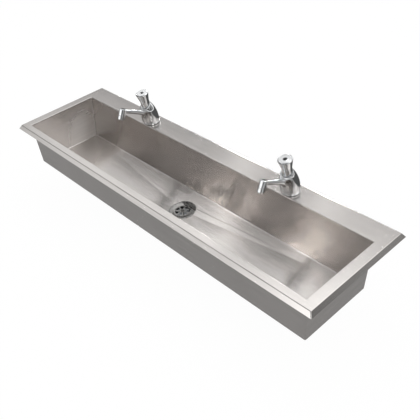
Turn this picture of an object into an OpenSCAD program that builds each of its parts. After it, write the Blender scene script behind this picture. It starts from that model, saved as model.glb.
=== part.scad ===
// Inset stainless steel trough sink with two push taps and a slotted waste.
// Millimetres. The origin is the centre of the rim's outline, on the worktop that the rim hangs on.
// +X is the user's right, +Y runs to the tap ledge at the back, +Z is up.

/* [Rim] */
// Length over the sloping edges
rim_length = 1196; // [1000:2:1400]
// Front to back over the sloping edges
rim_depth = 329; // [325:1:360]
// Horizontal run of the sloping edge
edge_run = 8; // [6:1:10]
// Drop of the sloping edge, from the rim's top to the worktop
edge_drop = 12; // [10:1:14]
// Flat rim beside each end of the bowl
end_rim = 28; // [24:1:40]
// Flat rim in front of the bowl
front_rim = 20; // [18:1:24]
// Flat ledge behind the bowl, which carries the taps
tap_ledge = 62; // [60:1:70]
// Thickness of the stainless sheet
sheet = 1.5; // [1.2:0.1:1.8]

/* [Bowl] */
// Depth from the rim's top to the corners of the floor
bowl_drop = 135; // [120:1:160]
// How far the floor falls from its corners to the waste
floor_fall = 7; // [5:1:9]
// How far each end wall leans in at the floor
end_lean = 5; // [2:1:10]
// How far the front wall leans in at the floor
front_lean = 1.5; // [0.5:0.5:4]
// How far the back wall leans in at the floor
back_lean = 20; // [10:1:24]

/* [Waste] */
// Waste centre along X
waste_x = -6; // [-20:1:20]
// Waste centre along Y
waste_y = -4; // [-10:1:2]
// Outer diameter of the grate
grate_d = 75; // [72:1:78]
// Number of wedge slots in the grate
slot_count = 7; // [6:1:9]
// Outer radius of the slots
slot_outer_r = 21.5; // [19:0.5:21.5]
// Inner radius of the slots
slot_inner_r = 7.5; // [7:0.5:9]
// Width of the bars between the slots
bar_w = 3.2; // [2.6:0.2:4]
// Outside diameter of the thread on the waste tail
waste_thread_d = 47.8; // [47.4:0.1:47.8]
// Length of the thread on the waste tail
waste_thread_l = 36; // [30:1:45]

/* [Taps] */
// Left tap centre along X
left_tap_x = -265; // [-300:1:-220]
// Right tap centre along X
right_tap_x = 297; // [240:1:310]
// Both taps' centre along Y
tap_y = 118.5; // [118:0.5:121]
// Diameter of the tap base
base_d = 50; // [48:1:51]
// Forward lean of the push head's axis
head_lean = 9.5; // [8:0.5:10]
// Distance from the base to the head's top, along its axis
head_top = 106; // [104:1:112]
// Diameter of the push head's flat top
head_d = 38; // [36:1:40]
// Travel of the push head
push_travel = 7; // [5:0.5:7]
// Forward distance from the tap's centre to the nozzle's axis where the arm meets it
spout_reach = 93.5; // [85:0.5:100]
// Height of that point over the base
spout_height = 76; // [74:0.5:78]
// Rise of the spout arm
spout_rise = 26.6; // [24:0.2:28]
// Outside diameter of the nozzle
nozzle_d = 21; // [20:0.5:22]
// Nozzle length from its top to its mouth
nozzle_l = 32; // [30:0.5:34]
// Outside diameter of the inlet thread
inlet_thread_d = 20.96; // [20.9:0.02:20.96]
// Length of inlet tail below the worktop plane
inlet_drop = 42; // [38:1:55]

/* [Fixings] */
// Width of the foam strip under the rim
strip_w = 10; // [8:1:10]
// Thickness of the worktop that the clamps are set for
worktop_t = 30; // [20:1:40]

/* [Hidden] */

// Colours, as the photograph shows them or as such pieces are made
steel = [0.72, 0.71, 0.69];
wall_steel = [0.52, 0.50, 0.48];
chrome = [0.80, 0.80, 0.81];
brass = [0.71, 0.60, 0.34];
rubber = [0.11, 0.11, 0.11];
foam = [0.20, 0.20, 0.21];
zinc = [0.62, 0.63, 0.64];
nylon = [0.88, 0.88, 0.85];

$fn = 64;
eps = 0.01;

// Rim: the crease is the line where the flat top turns into the sloping edge
crease_x = rim_length / 2 - edge_run;
crease_y = rim_depth / 2 - edge_run;
rim_top = edge_drop;
deck_under = rim_top - sheet;
edge_angle = atan(edge_drop / edge_run);
edge_skin = sheet / sin(edge_angle);
under_run = (sheet / edge_drop) * edge_run - edge_skin;

// Bowl mouth
mouth_x = crease_x - end_rim;
mouth_front = -crease_y + front_rim;
mouth_back = crease_y - tap_ledge;
floor_z = rim_top - bowl_drop;
waste_at = [waste_x, waste_y, floor_z - floor_fall];
floor_mid_y = (mouth_front + front_lean + mouth_back - back_lean) / 2;

// Recess in the floor round the waste, and what is stacked in it
recess_r = grate_d / 2 + 1.5;
seat_z = waste_at[2] - 3.2;
upper_seal_t = 1;
lower_seal_t = 3;
waste_hole_r = 22.8;
waste_body_z = seat_z - sheet - lower_seal_t;
waste_flange_r = 33;
waste_bore_r = 20.5;
waste_screw_r = 3;
web_z = -34;
web_h = 12;
grate_mid_t = 1.3;

// Earth tag, bent from strip
tag_x = -420;
tag_y = 112;
tag_w = 16;
tag_t = 1.5;
tag_drop = 25;
tag_foot = 12;
tag_hole_r = 2.75;
tag_hole_z = -6;

// Stack under each tap
gasket_t = 1;
tail_socket = 5;
tail_bore_r = 6.5;
tap_hole_r = 11.5;
backing_t = 3;
washer_t = 2;
backnut_t = 7;
backnut_z = deck_under - backing_t - washer_t - backnut_t;

// Tap body: an ellipsoid round the head's axis, cut level at its base and by a sloping plane at its mouth
dome_r = base_d / 2 + 1.5;
dome_half = 57;
dome_mid = 20;
mouth_mid = 64;
mouth_slope = 25.8;
skirt_r = 13.5;
skirt_gap = 0.3;
skirt_bottom = 50;
cone_bottom = mouth_mid + 7 + push_travel;
cartridge_r = 10.9;
cartridge_bore_r = 11;
cartridge_bottom = 9;
cartridge_top = 41;
shoulder = 38;
seal_groove_r = cartridge_r - 1.2;
seal_h = 28;
seal_t = 2;

// Push head and the stem inside it
spindle_r = 3;
piston_r = 7.2;
piston_t = 5;
piston_h = 24;
piston_groove_r = 6;
socket_top = head_top - 14;
ceiling = head_top - 23;
screw_r = 2;
screw_seat = socket_top + 5;
indicator_r = 5;
indicator_seat = head_top - 2.2;

// Spout
arm_l = 84;
arm_root_r = 15;
arm_end_r = 5.5;
arm_flare_l = 14;
arm_steps = 14;
arm_below_top = 7.5;
arm_bore_r = 3.2;
arm_bore_start = 5;
spout_joint = [0, -spout_reach, spout_height];
arm_dir = [0, -cos(spout_rise), sin(spout_rise)];
nozzle_dir = [0, -sin(spout_rise), -cos(spout_rise)];
nozzle_top = spout_joint - arm_below_top * nozzle_dir;
socket_l = 20;
chamber_r = 6;
chamber_top = 3;
thread_top = 12;
nozzle_thread_r = 8.5;
nozzle_washer_t = 2;
straightener_r = 7.15;

// Passage from the cartridge's ports up to the arm's bore
port_h = 20;
port_r = 2.2;
passage_low = [0, -13, 17];
passage_lean = 26.7;
passage_l = 27.5;
passage_r = 1.5;

// Spring wire and coil
spring_wire_r = 0.7;
spring_r = 8.6;
spring_turns = 9;
spring_sides = 6;
spring_rings = 12;

// Clamps stand in a row behind the bowl
clamp_xs = [-500, 0, 500];
clamp_y = 124;
stud_r = 3;
claw_w = 25;
claw_t = 2.5;
claw_z = -worktop_t - 10;
nut_t = 5;

// ---------- shared shapes ----------

// A block with a level rectangle below and another above, both centred on the origin
module tapered_block(low, z_low, high, z_high) {
    points = [for (s = [[low, z_low], [high, z_high]], c = [[-1, -1], [-1, 1], [1, 1], [1, -1]])
        [c[0] * s[0][0], c[1] * s[0][1], s[1]]];
    polyhedron(points, [[4, 5, 6, 7], [3, 2, 1, 0], [0, 1, 5, 4], [1, 2, 6, 5], [2, 3, 7, 6], [3, 0, 4, 7]]);
}

// A corner of the bowl: side is -1 or 1, back and low pick the corner, skin 0 is the inside face
function bowl_corner(side, back, low, skin) = [
    side * (mouth_x - (low ? end_lean : 0) + skin),
    back ? mouth_back - (low ? back_lean : 0) + skin : mouth_front + (low ? front_lean : 0) - skin,
    low ? floor_z : deck_under];

// A wall between two corners, a on the left and b on the right of someone who faces it from inside
module wall(a, b) {
    points = [for (skin = [0, sheet], c = [a, b], low = [false, true]) bowl_corner(c[0], c[1], low, skin)];
    polyhedron(points, [[0, 2, 3, 1], [6, 4, 5, 7], [0, 4, 6, 2], [1, 3, 7, 5], [4, 0, 1, 5], [2, 6, 7, 3]]);
}

// A plate with the floor's four planes on top, its top drop below the floor's own
module creased_plate(drop, thickness) {
    corners = [[-1, false], [-1, true], [1, true], [1, false]];
    outer = [for (c = corners) bowl_corner(c[0], c[1], true, sheet)];
    inner = [for (c = corners) bowl_corner(c[0], c[1], true, 0)];
    top = concat(outer, inner, [waste_at]);
    points = [for (d = [drop, drop + thickness], p = top) p - [0, 0, d]];
    count = len(top);
    faces = concat(
        [for (i = [0:3]) [i, (i + 1) % 4, (i + 1) % 4 + 4, i + 4]],
        [for (i = [0:3]) [i + 4, (i + 1) % 4 + 4, 8]],
        [for (i = [0:3]) [i + 4 + count, (i + 1) % 4 + 4 + count, (i + 1) % 4 + count, i + count]],
        [for (i = [0:3]) [8 + count, (i + 1) % 4 + 4 + count, i + 4 + count]],
        [for (i = [0:3]) [(i + 1) % 4, i, i + count, (i + 1) % 4 + count]]);
    polyhedron(points, faces);
}

// A flat ring, standing on z
module ring(outer_r, inner_r, height, z = 0) {
    translate([0, 0, z]) difference() {
        cylinder(h = height, r = outer_r);
        translate([0, 0, -1]) cylinder(h = height + 2, r = inner_r);
    }
}

// A hexagonal nut across flats
module hex_nut(flats, bore_r, height, z) {
    translate([0, 0, z]) difference() {
        cylinder(h = height, d = flats / cos(30), $fn = 6);
        translate([0, 0, -1]) cylinder(h = height + 2, r = bore_r);
    }
}

module at_waste(z) {
    translate([waste_x, waste_y, z]) children();
}

// Places a child on the tap's base, on its gasket
module at_tap(x) {
    translate([x, tap_y, rim_top + gasket_t]) children();
}

module at_both_taps() {
    for (x = [left_tap_x, right_tap_x]) at_tap(x) children();
}

// Turns a child from upright onto the push head's leaning axis
module head_axis() {
    rotate([head_lean, 0, 0]) children();
}

// Places a child on the nozzle's axis, z running from the nozzle's top to its mouth
module nozzle_axis() {
    translate(nozzle_top) rotate([180 - spout_rise, 0, 0]) children();
}

// ---------- trough ----------

module rim_deck() {
    color(steel) difference() {
        tapered_block([rim_length / 2, rim_depth / 2], 0, [crease_x, crease_y], rim_top);
        tapered_block([rim_length / 2 - edge_skin, rim_depth / 2 - edge_skin], 0,
            [crease_x + under_run, crease_y + under_run], deck_under);
        translate([-mouth_x, mouth_front, 0])
            cube([2 * mouth_x, mouth_back - mouth_front, 2 * rim_top]);
        for (x = [left_tap_x, right_tap_x]) translate([x, tap_y, 0]) cylinder(h = 2 * rim_top, r = tap_hole_r);
    }
}

module front_wall() {
    color(wall_steel) wall([1, false], [-1, false]);
}

module back_wall() {
    color(wall_steel) wall([-1, true], [1, true]);
}

module left_end_wall() {
    color(wall_steel) wall([-1, false], [-1, true]);
}

module right_end_wall() {
    color(wall_steel) wall([1, true], [1, false]);
}

// Creased sheet with a round recess for the grate and a hole for the waste
module bowl_floor() {
    recess_h = 20;
    color(steel) difference() {
        union() {
            creased_plate(0, sheet);
            intersection() {
                at_waste(seat_z - sheet) cylinder(h = recess_h, r = recess_r + sheet);
                creased_plate(0, recess_h);
            }
        }
        at_waste(seat_z) cylinder(h = recess_h, r = recess_r);
        at_waste(seat_z - recess_h) cylinder(h = 2 * recess_h, r = waste_hole_r);
    }
}

module sealing_strip() {
    outer = [2 * crease_x - 4, 2 * crease_y - 4];
    inner = outer - 2 * [strip_w, strip_w];
    color(foam) linear_extrude(deck_under) difference() {
        square(outer, center = true);
        square(inner, center = true);
    }
}

module tap_backing_plates() {
    plate = [90, 42];
    color(zinc) for (x = [left_tap_x, right_tap_x]) translate([x, tap_y, deck_under - backing_t])
        linear_extrude(backing_t) difference() {
            square(plate, center = true);
            circle(r = tap_hole_r);
        }
}

module deadening_pads() {
    pad = [340, 150];
    pad_t = 2.5;
    pad_x = 110;
    color(rubber) for (side = [-1, 1]) intersection() {
        creased_plate(sheet, pad_t);
        translate([side * (pad_x + pad[0] / 2), floor_mid_y, floor_z])
            cube([pad[0], pad[1], 4 * floor_fall], center = true);
    }
}

// Bent tag welded under the ledge, with a clear hole for the earth lead's screw
module earth_tag() {
    color(steel) translate([tag_x, tag_y, 0]) difference() {
        union() {
            translate([-tag_w / 2, 0, deck_under - tag_drop]) cube([tag_w, tag_t, tag_drop]);
            translate([-tag_w / 2, 0, deck_under - tag_t]) cube([tag_w, tag_foot, tag_t]);
        }
        translate([0, -1, tag_hole_z]) rotate([-90, 0, 0]) cylinder(h = tag_t + 2, r = tag_hole_r);
    }
}

// ---------- hold-down clamps ----------

module clamp_studs() {
    color(zinc) for (x = clamp_xs) translate([x, clamp_y, claw_z - nut_t - 6])
        cylinder(h = deck_under - claw_z + nut_t + 6, r = stud_r);
}

// A strip bent to a J: its long leg bears under the deck, its short tip under the worktop
module clamp_claws() {
    inner_y = -16;
    outer_y = 34;
    tip_h = -worktop_t - claw_z;
    color(zinc) for (x = clamp_xs) translate([x - claw_w / 2, clamp_y, claw_z]) difference() {
        union() {
            translate([0, inner_y, 0]) cube([claw_w, outer_y - inner_y, claw_t]);
            translate([0, inner_y, 0]) cube([claw_w, claw_t, deck_under - claw_z]);
            translate([0, outer_y - claw_t, 0]) cube([claw_w, claw_t, tip_h]);
        }
        translate([claw_w / 2, 0, -1]) cylinder(h = claw_t + 2, r = stud_r + 0.4);
    }
}

module clamp_nuts() {
    color(zinc) for (x = clamp_xs) translate([x, clamp_y, 0]) hex_nut(10, stud_r + 0.05, nut_t, claw_z - nut_t);
}

// ---------- waste ----------

// Dished disc with a raised lip and wedge slots between radial bars
module waste_grate() {
    r = grate_d / 2;
    dish_w = 10.5;
    slot_turn = 141;
    color(chrome) at_waste(seat_z + upper_seal_t) difference() {
        rotate_extrude() polygon([[0, 0], [r - 2, 0], [r, 1.5], [r, 3.3], [r - 0.8, 3.9], [r - 1.8, 3.9],
            [r - dish_w, 1.7], [slot_outer_r + 1, 1.4], [slot_inner_r, grate_mid_t], [0, grate_mid_t]]);
        translate([0, 0, -1]) linear_extrude(6) difference() {
            circle(r = slot_outer_r);
            circle(r = slot_inner_r);
            for (i = [0:slot_count - 1]) rotate(slot_turn + (i + 0.5) * 360 / slot_count)
                translate([0, -bar_w / 2]) square([grate_d, bar_w]);
        }
        translate([0, 0, -1]) cylinder(h = 6, r = waste_screw_r + 0.3);
    }
}

module waste_screw() {
    head_r = 5.8;
    head_h = 2;
    slot_w = 1.2;
    past_web = 4;
    screw_foot = waste_body_z + web_z - past_web;
    head_z = seat_z + upper_seal_t + grate_mid_t;
    color(chrome) difference() {
        union() {
            at_waste(head_z) cylinder(h = head_h, r1 = head_r, r2 = head_r - 1.6);
            at_waste(screw_foot) cylinder(h = head_z - screw_foot + eps, r = waste_screw_r);
        }
        at_waste(head_z + head_h) cube([2 * head_r, slot_w, head_h], center = true);
    }
}

module waste_upper_seal() {
    color(rubber) at_waste(seat_z) ring(grate_d / 2 - 2.5, waste_hole_r + 0.7, upper_seal_t);
}

module waste_lower_seal() {
    color(rubber) at_waste(waste_body_z) ring(waste_flange_r, waste_hole_r + 0.7, lower_seal_t);
}

// Cup under the floor, with a threaded tail and a cross web that takes the centre screw
module waste_body() {
    cup_r = 26;
    thread_r = waste_thread_d / 2;
    thread_z = -24;
    tail_z = thread_z - waste_thread_l - 1;
    arm = [2 * waste_bore_r + 1, 2.5, web_h - 4];
    color(chrome) at_waste(waste_body_z) {
        rotate_extrude() polygon([[waste_bore_r, 0], [waste_flange_r, 0], [waste_flange_r, -3],
            [cup_r + 1.5, -5], [cup_r, -9], [cup_r, thread_z], [thread_r, thread_z],
            [thread_r, tail_z + 1], [thread_r - 1, tail_z], [waste_bore_r, tail_z]]);
        translate([0, 0, web_z]) difference() {
            union() {
                cylinder(h = web_h, r = 2 * waste_screw_r);
                for (a = [0, 90]) rotate(a) translate([-arm[0] / 2, -arm[1] / 2, 0]) cube(arm);
            }
            translate([0, 0, -1]) cylinder(h = web_h + 2, r = waste_screw_r + 0.05);
        }
    }
}

// ---------- taps ----------

module tap_base_gaskets() {
    color(rubber) for (x = [left_tap_x, right_tap_x]) translate([x, tap_y, rim_top])
        ring(base_d / 2 - 0.6, inlet_thread_d / 2 + 0.3, gasket_t);
}

module tap_deck_washers() {
    color(nylon) for (x = [left_tap_x, right_tap_x]) translate([x, tap_y, backnut_z + backnut_t])
        ring(17, inlet_thread_d / 2 + 0.2, washer_t);
}

module tap_backnuts() {
    flats = 30;
    color(brass) for (x = [left_tap_x, right_tap_x]) translate([x, tap_y, backnut_z])
        hex_nut(flats, inlet_thread_d / 2 + 0.05, backnut_t, 0);
}

function dome_radius(h) = dome_r * sqrt(1 - pow((h - dome_mid) / dome_half, 2));

// Solid of the tap's dome, from below the deck to its sloping mouth
module tap_dome() {
    low = -8;
    high = 78;
    steps = 24;
    outline = [for (i = [0:steps]) let (h = low + (high - low) * i / steps) [dome_radius(h), h]];
    intersection() {
        head_axis() difference() {
            rotate_extrude() polygon(concat([[0, low]], outline, [[0, high]]));
            translate([0, 0, mouth_mid]) rotate([mouth_slope, 0, 0])
                translate([-50, -50, 0]) cube([100, 100, 60]);
        }
        translate([-60, -60, 0]) cube([120, 120, 120]);
    }
}

function arm_radius(along) = arm_end_r + (arm_root_r - arm_end_r) * exp(-along / arm_flare_l);

// Round arm that flares where it leaves the dome, as the casting's fillet does
module spout_arm() {
    outline = [for (i = [0:arm_steps]) let (along = arm_l * i / arm_steps) [arm_radius(along), along]];
    translate(spout_joint - arm_l * arm_dir) rotate([90 - spout_rise, 0, 0])
        rotate_extrude() polygon(concat([[0, 0]], outline, [[0, arm_l]]));
}

// Chromed casting: base, dome, rising spout arm and nozzle socket, bored for cartridge, head and water
module tap_body() {
    ring_h = 4;
    color(chrome) difference() {
        union() {
            cylinder(h = ring_h, d = base_d);
            tap_dome();
            spout_arm();
            nozzle_axis() cylinder(h = socket_l, d = nozzle_d);
        }
        head_axis() translate([0, 0, shoulder]) cylinder(h = 80, r = skirt_r + skirt_gap);
        head_axis() translate([0, 0, cartridge_bottom - 1]) cylinder(h = 60, r = cartridge_bore_r);
        translate([0, 0, -1]) cylinder(h = tail_socket + 1, r = inlet_thread_d / 2 + 0.02);
        translate([0, 0, -1]) cylinder(h = cartridge_bottom + 2, r = tail_bore_r);
        translate(passage_low) rotate([passage_lean, 0, 0]) cylinder(h = passage_l, r = passage_r);
        translate(spout_joint - (arm_l - arm_bore_start) * arm_dir) rotate([90 - spout_rise, 0, 0])
            cylinder(h = arm_l - arm_bore_start, r = arm_bore_r);
        nozzle_axis() translate([0, 0, chamber_top]) cylinder(h = socket_l, r = chamber_r);
        nozzle_axis() translate([0, 0, thread_top]) cylinder(h = socket_l, r = nozzle_thread_r + 0.05);
    }
}

// Screwed nozzle: a threaded spigot in the socket and a plain ring below it
module nozzle() {
    spigot_z = thread_top + nozzle_washer_t;
    lip = 1.5;
    bore_r = straightener_r + 0.05;
    color(chrome) nozzle_axis() difference() {
        union() {
            translate([0, 0, spigot_z]) cylinder(h = socket_l - spigot_z, r = nozzle_thread_r);
            translate([0, 0, socket_l]) cylinder(h = nozzle_l - socket_l - 1, d = nozzle_d);
            translate([0, 0, nozzle_l - 1]) cylinder(h = 1, d1 = nozzle_d, d2 = nozzle_d - 2);
        }
        translate([0, 0, spigot_z - 1]) cylinder(h = nozzle_l - spigot_z - lip + 1, r = bore_r);
        translate([0, 0, 0]) cylinder(h = nozzle_l + 1, r = bore_r - 0.8);
    }
}

module nozzle_washers() {
    color(rubber) at_both_taps() nozzle_axis()
        ring(nozzle_thread_r - 0.1, chamber_r - 1, nozzle_washer_t, thread_top);
}

// Plastic plug with a ring of small waterways, held by the nozzle's lip
module flow_straighteners() {
    plug_z = socket_l + 1;
    plug_h = nozzle_l - 1.5 - plug_z;
    way_r = 1.5;
    way_pitch_r = 4.4;
    color(nylon) at_both_taps() nozzle_axis() translate([0, 0, plug_z]) difference() {
        cylinder(h = plug_h, r = straightener_r);
        translate([0, 0, -1]) cylinder(h = plug_h + 2, r = way_r);
        for (a = [0:60:300]) rotate(a) translate([way_pitch_r, 0, -1]) cylinder(h = plug_h + 2, r = way_r);
    }
}

// Threaded tube through the deck, its top seated in the body
module inlet_tail() {
    top = tail_socket;
    bottom = -gasket_t - rim_top - inlet_drop;
    groove_top = backnut_z - rim_top - gasket_t - 0.5;
    groove_h = 3;
    r = inlet_thread_d / 2;
    // The groove parts the nut's stretch of thread from the free end that a supply line screws on to
    color(brass) rotate_extrude() polygon([[tail_bore_r, top], [r, top], [r, groove_top], [r - 1, groove_top],
        [r - 1, groove_top - groove_h], [r, groove_top - groove_h], [r, bottom + 1], [r - 1, bottom],
        [tail_bore_r, bottom]]);
}

// Timing cartridge: a closed tube with a guided hole in its cap and water ports in its side
module cartridge() {
    cavity_r = 7.6;
    floor_t = 2;
    cap_t = 3;
    color(brass) head_axis() difference() {
        union() {
            translate([0, 0, cartridge_bottom]) cylinder(h = cartridge_top - cartridge_bottom, r = cartridge_r);
            translate([0, 0, shoulder]) cylinder(h = cap_t, r = skirt_r - 0.2);
        }
        translate([0, 0, cartridge_bottom + floor_t])
            cylinder(h = cartridge_top - cap_t - cartridge_bottom - floor_t, r = cavity_r);
        translate([0, 0, cartridge_bottom - 1]) cylinder(h = floor_t + 2, r = 4);
        translate([0, 0, cartridge_top - cap_t - 1]) cylinder(h = cap_t + 2, r = spindle_r + 0.06);
        for (a = [0:90:270]) rotate(a) translate([cavity_r - 1, 0, port_h]) rotate([0, 90, 0])
            cylinder(h = 6, r = port_r);
        ring(cartridge_r + 1, seal_groove_r, seal_t, seal_h);
    }
}

module cartridge_seal() {
    color(rubber) head_axis() ring(cartridge_bore_r, seal_groove_r, seal_t, seal_h);
}

// Helical spring between the cartridge's cap and the head's ceiling
module return_spring() {
    low = cartridge_top + spring_wire_r + 0.05;
    high = ceiling - spring_wire_r - 0.05;
    last = spring_turns * spring_rings;
    points = [for (i = [0:last]) let (a = 360 * i / spring_rings, h = low + (high - low) * i / last)
        for (j = [0:spring_sides - 1]) let (b = 360 * j / spring_sides, q = spring_r + spring_wire_r * cos(b))
            [q * cos(a), q * sin(a), h + spring_wire_r * sin(b)]];
    sides = [for (i = [0:last - 1], j = [0:spring_sides - 1])
        let (k = (j + 1) % spring_sides, m = i * spring_sides, n = m + spring_sides)
            [m + j, n + j, n + k, m + k]];
    split = [for (f = sides) each [[f[0], f[1], f[2]], [f[0], f[2], f[3]]]];
    first_cap = [for (j = [0:spring_sides - 1]) j];
    last_cap = [for (j = [spring_sides - 1:-1:0]) last * spring_sides + j];
    color(zinc) head_axis() polyhedron(points, concat(split, [first_cap, last_cap]));
}

// Push head: an inverted cone on a skirt, hollow below, stepped hole on top for screw and indicator
module push_head() {
    top_r = head_d / 2;
    wall_t = 1.9;
    stem_tube_r = 5.4;
    stem_tube_rise = 8;
    color(chrome) head_axis() difference() {
        rotate_extrude() polygon([[0, skirt_bottom], [skirt_r, skirt_bottom], [skirt_r, cone_bottom],
            [top_r - 0.6, head_top - 4], [top_r, head_top - 3], [top_r, head_top - 1.5],
            [top_r - 1.2, head_top - 0.3], [top_r - 2, head_top], [0, head_top]]);
        difference() {
            translate([0, 0, skirt_bottom - 1]) cylinder(h = ceiling - skirt_bottom + 1, r = skirt_r - wall_t);
            translate([0, 0, skirt_bottom + stem_tube_rise]) cylinder(h = head_top, r = stem_tube_r);
        }
        translate([0, 0, skirt_bottom - 1]) cylinder(h = socket_top - skirt_bottom + 1, r = spindle_r + 0.05);
        translate([0, 0, socket_top - 1]) cylinder(h = head_top, r = screw_r + 0.05);
        translate([0, 0, screw_seat]) cylinder(h = head_top, r = 2 * screw_r - 0.2);
        translate([0, 0, indicator_seat]) cylinder(h = head_top, r = indicator_r + 0.05);
    }
}

module indicator() {
    r = indicator_r;
    color(rubber) head_axis() translate([0, 0, indicator_seat + 0.05]) rotate_extrude()
        polygon([[0, 0], [r, 0], [r, 1.9], [r - 0.7, 2.3], [0, 2.6]]);
}

module head_screw() {
    shank_l = 13;
    head_h = 3.5;
    key_depth = 1.9;
    color(zinc) head_axis() translate([0, 0, screw_seat]) difference() {
        union() {
            cylinder(h = head_h, r = 1.8 * screw_r);
            translate([0, 0, -shank_l]) cylinder(h = shank_l + eps, r = screw_r);
        }
        translate([0, 0, head_h - key_depth]) cylinder(h = head_h, r = 1.7, $fn = 6);
    }
}

// Stem with the timing piston at its foot and a tapped hole in its top
module spindle() {
    tapped_depth = 9;
    color(brass) head_axis() difference() {
        union() {
            translate([0, 0, piston_h]) cylinder(h = socket_top - piston_h - 0.05, r = spindle_r);
            translate([0, 0, piston_h]) cylinder(h = piston_t, r = piston_r);
        }
        translate([0, 0, socket_top - tapped_depth]) cylinder(h = tapped_depth + 1, r = screw_r + 0.02);
        ring(piston_r + 1, piston_groove_r, seal_t, piston_h + 1.5);
    }
}

module piston_seal() {
    color(rubber) head_axis() ring(piston_r + 0.32, piston_groove_r, seal_t, piston_h + 1.5);
}

rim_deck();
front_wall();
back_wall();
left_end_wall();
right_end_wall();
bowl_floor();
sealing_strip();
tap_backing_plates();
deadening_pads();
earth_tag();
clamp_studs();
clamp_claws();
clamp_nuts();
waste_grate();
waste_screw();
waste_upper_seal();
waste_lower_seal();
waste_body();
tap_base_gaskets();
tap_deck_washers();
tap_backnuts();
nozzle_washers();
flow_straighteners();
at_tap(left_tap_x) tap_body();  // left_tap_body
at_tap(left_tap_x) nozzle();  // left_nozzle
at_tap(left_tap_x) cartridge();  // left_cartridge
at_tap(left_tap_x) cartridge_seal();  // left_cartridge_seal
at_tap(left_tap_x) inlet_tail();  // left_inlet_tail
at_tap(left_tap_x) return_spring();  // left_return_spring
at_tap(left_tap_x) push_head();  // left_push_head
at_tap(left_tap_x) indicator();  // left_indicator
at_tap(left_tap_x) head_screw();  // left_head_screw
at_tap(left_tap_x) spindle();  // left_spindle
at_tap(left_tap_x) piston_seal();  // left_piston_seal
at_tap(right_tap_x) tap_body();  // right_tap_body
at_tap(right_tap_x) nozzle();  // right_nozzle
at_tap(right_tap_x) cartridge();  // right_cartridge
at_tap(right_tap_x) cartridge_seal();  // right_cartridge_seal
at_tap(right_tap_x) inlet_tail();  // right_inlet_tail
at_tap(right_tap_x) return_spring();  // right_return_spring
at_tap(right_tap_x) push_head();  // right_push_head
at_tap(right_tap_x) indicator();  // right_indicator
at_tap(right_tap_x) head_screw();  // right_head_screw
at_tap(right_tap_x) spindle();  // right_spindle
at_tap(right_tap_x) piston_seal();  // right_piston_seal
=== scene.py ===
import math

import bmesh
import bpy
from mathutils import Matrix, Vector


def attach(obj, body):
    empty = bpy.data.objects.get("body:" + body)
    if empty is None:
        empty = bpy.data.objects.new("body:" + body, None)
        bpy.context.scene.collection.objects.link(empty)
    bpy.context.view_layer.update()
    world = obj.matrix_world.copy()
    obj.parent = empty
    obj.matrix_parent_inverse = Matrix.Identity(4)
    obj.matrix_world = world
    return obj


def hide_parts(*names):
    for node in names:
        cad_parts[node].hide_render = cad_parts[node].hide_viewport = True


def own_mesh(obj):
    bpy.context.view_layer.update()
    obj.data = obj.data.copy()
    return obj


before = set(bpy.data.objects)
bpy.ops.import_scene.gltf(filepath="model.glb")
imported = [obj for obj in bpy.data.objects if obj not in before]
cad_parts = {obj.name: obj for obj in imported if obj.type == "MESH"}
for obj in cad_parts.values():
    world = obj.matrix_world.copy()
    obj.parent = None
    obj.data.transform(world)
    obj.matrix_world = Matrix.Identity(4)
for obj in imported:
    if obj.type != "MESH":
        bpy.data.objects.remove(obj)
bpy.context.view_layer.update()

scene = bpy.context.scene

# ---------- Camera ----------
# It stands high over the trough's front right corner and looks along the bowl, and is tipped a
# little about its own line of sight, as the photograph is.
view_round, view_up, view_tip = (math.radians(a) for a in (51.56, 37.83, -7.18))
looks_at = Vector((0.1971, -0.0653, 0.012))
stands_off = 1.4914
camera_data = bpy.data.cameras.new("camera")
camera_data.sensor_width = 36
camera_data.lens = 52.11
camera = bpy.data.objects.new("camera", camera_data)
scene.collection.objects.link(camera)
facing = Matrix.Rotation(view_round, 4, "Z") @ Matrix.Rotation(math.pi / 2 - view_up, 4, "X")
place = Matrix.Translation(looks_at + facing @ Vector((0, 0, stands_off)))
camera.matrix_world = place @ facing @ Matrix.Rotation(view_tip, 4, "Z")
scene.camera = camera

# ---------- Trough: rim, walls and floor ----------
# Stainless sheet, folded and pressed: a level rim with a sloping edge all round, and a bowl whose
# walls are folded down from the rim. The end walls and the creased floor are welded in, and the
# welds are dressed flush. All of it is satin ground, the grain running along each sheet.
SHEET = 0.0015
RIM_TOP = 0.012
RIM_X, RIM_Y = 0.598, 0.1645
CREASE_X, CREASE_Y = 0.590, 0.1565
FRONT_RIM = 0.020
MOUTH_X, MOUTH_BACK = 0.56206, 0.09472
BOWL_DROP = 0.135
FOOT_X, FOOT_FRONT, FOOT_BACK = 0.557, -0.135, 0.0745
FOOT_Z = RIM_TOP - BOWL_DROP
WASTE = Vector((-0.006, -0.004, -0.130))
CORNER_FOLD = 0.003
MOUTH_FOLD = 0.0028
EDGE_FOLD = 0.0018
LIP = 0.0034
SEAM = 0.0042
RECESS_R, RECESS_SEAT, WASTE_HOLE_R = 0.039, -0.1332, 0.0228
UNDER_FLOOR, ABOVE_FLOOR = 0.02, -0.115
TAP_XS = {"left": -0.265, "right": 0.297}
TAP_Y = 0.1185
TAP_HOLE_R = 0.0115
STEEL_HEX = "#D2CECB"
NEAR = 1e-5
SHARP = math.radians(35)


def begin(name, primitive, **settings):
    """Adds a primitive with nothing else selected, names it and opens it for editing."""
    if bpy.context.object and bpy.context.object.mode == "EDIT":
        bpy.ops.object.mode_set(mode="OBJECT")
    bpy.ops.object.select_all(action="DESELECT")
    primitive(**settings)
    piece = bpy.context.object
    piece.name = piece.data.name = name
    bpy.ops.object.mode_set(mode="EDIT")
    bpy.ops.mesh.select_mode(type="VERT")
    bpy.ops.mesh.select_all(action="SELECT")
    return piece


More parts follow.
